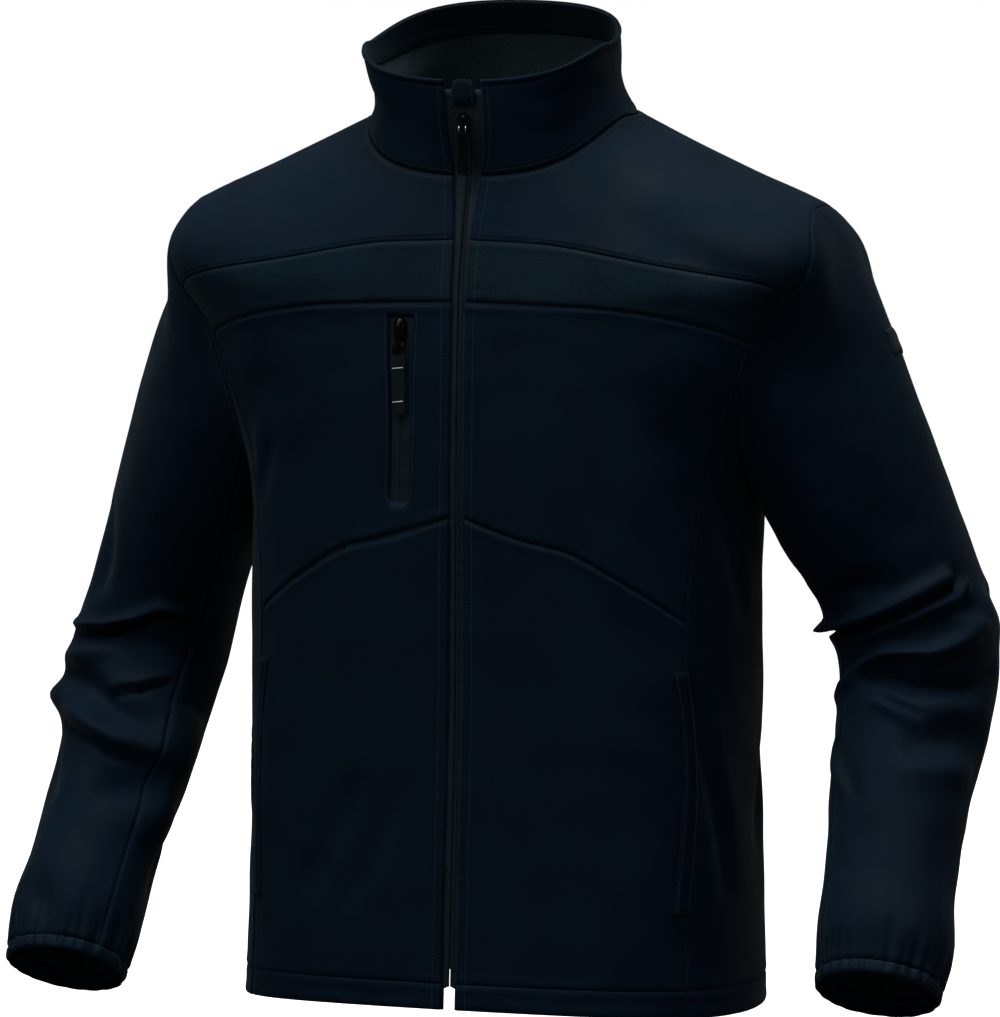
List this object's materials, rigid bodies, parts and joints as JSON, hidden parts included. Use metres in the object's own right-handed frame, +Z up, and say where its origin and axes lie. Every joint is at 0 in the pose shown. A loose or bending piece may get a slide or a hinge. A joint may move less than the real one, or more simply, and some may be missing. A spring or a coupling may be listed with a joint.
{
  "type": "softshell jacket",
  "caption": "Man's softshell jacket with a stand collar, a full front zip and a zipped chest pocket, hollow and filled out as if worn.",
  "frame": {"origin": "on the centre plane, at the height where the collar seam crosses the shoulder seams, over the middle of the neck hole", "axes": "+X towards the wearer's left, +Y towards the wearer's back (the zip faces -Y), +Z up"},
  "size_m": [0.7735, 0.273, 0.789],
  "materials": {
    "shell_cloth": "matt bonded stretch cloth, near-black navy",
    "band_cloth": "the same cloth with a rougher face",
    "facing_cloth": "matt stretch binding cloth",
    "welt_cloth": "matt stretch cloth",
    "zip_tape": "matt woven tape",
    "zip_coil": "satin nylon",
    "zip_slider": "glossy black",
    "zip_puller": "moulded, satin black"
  },
  "bodies": {
    "jacket": {"front_yoke_left": "shell_cloth", "chest_band_left": "band_cloth", "chest_panel_left": "shell_cloth", "lower_front_left": "shell_cloth", "hem_front_left": "shell_cloth", "side_panel_left": "shell_cloth", "hem_side_left": "shell_cloth", "front_yoke_right": "shell_cloth", "chest_band_right": "band_cloth", "chest_panel_right": "shell_cloth", "lower_front_right": "shell_cloth", "hem_front_right": "shell_cloth", "side_panel_right": "shell_cloth", "hem_side_right": "shell_cloth", "back_panel": "shell_cloth", "hem_back": "shell_cloth", "collar": "shell_cloth", "collar_facing": "facing_cloth", "sleeve_top_left": "shell_cloth", "sleeve_under_left": "shell_cloth", "cuff_binding_left": "facing_cloth", "sleeve_top_right": "shell_cloth", "sleeve_under_right": "shell_cloth", "cuff_binding_right": "facing_cloth", "zip_tape_left": "zip_tape", "zip_tape_right": "zip_tape", "zip_coil": "zip_coil", "zip_garage": "shell_cloth", "zip_slider": "zip_slider", "chest_zip_tape": "zip_tape", "chest_zip_slider": "zip_slider", "hand_pocket_welt_left": "welt_cloth", "hand_pocket_welt_right": "welt_cloth", "sleeve_label": "welt_cloth"},
    "front_pull": {"zip_pull": "zip_puller"},
    "chest_pull": {"chest_zip_pull": "zip_puller"}
  },
  "joints": [
    {"name": "front_pull_hinge", "type": "hinge", "parent": "jacket", "child": "front_pull", "pos_m": [0, -0.1049, -0.00712], "axis": [-1, 0, 0], "range_deg": [0, 140]},
    {"name": "chest_pull_hinge", "type": "hinge", "parent": "jacket", "child": "chest_pull", "pos_m": [-0.04683, -0.12084, -0.17353], "axis": [-0.9992, 0.0406, 0], "range_deg": [0, 140]}
  ]
}
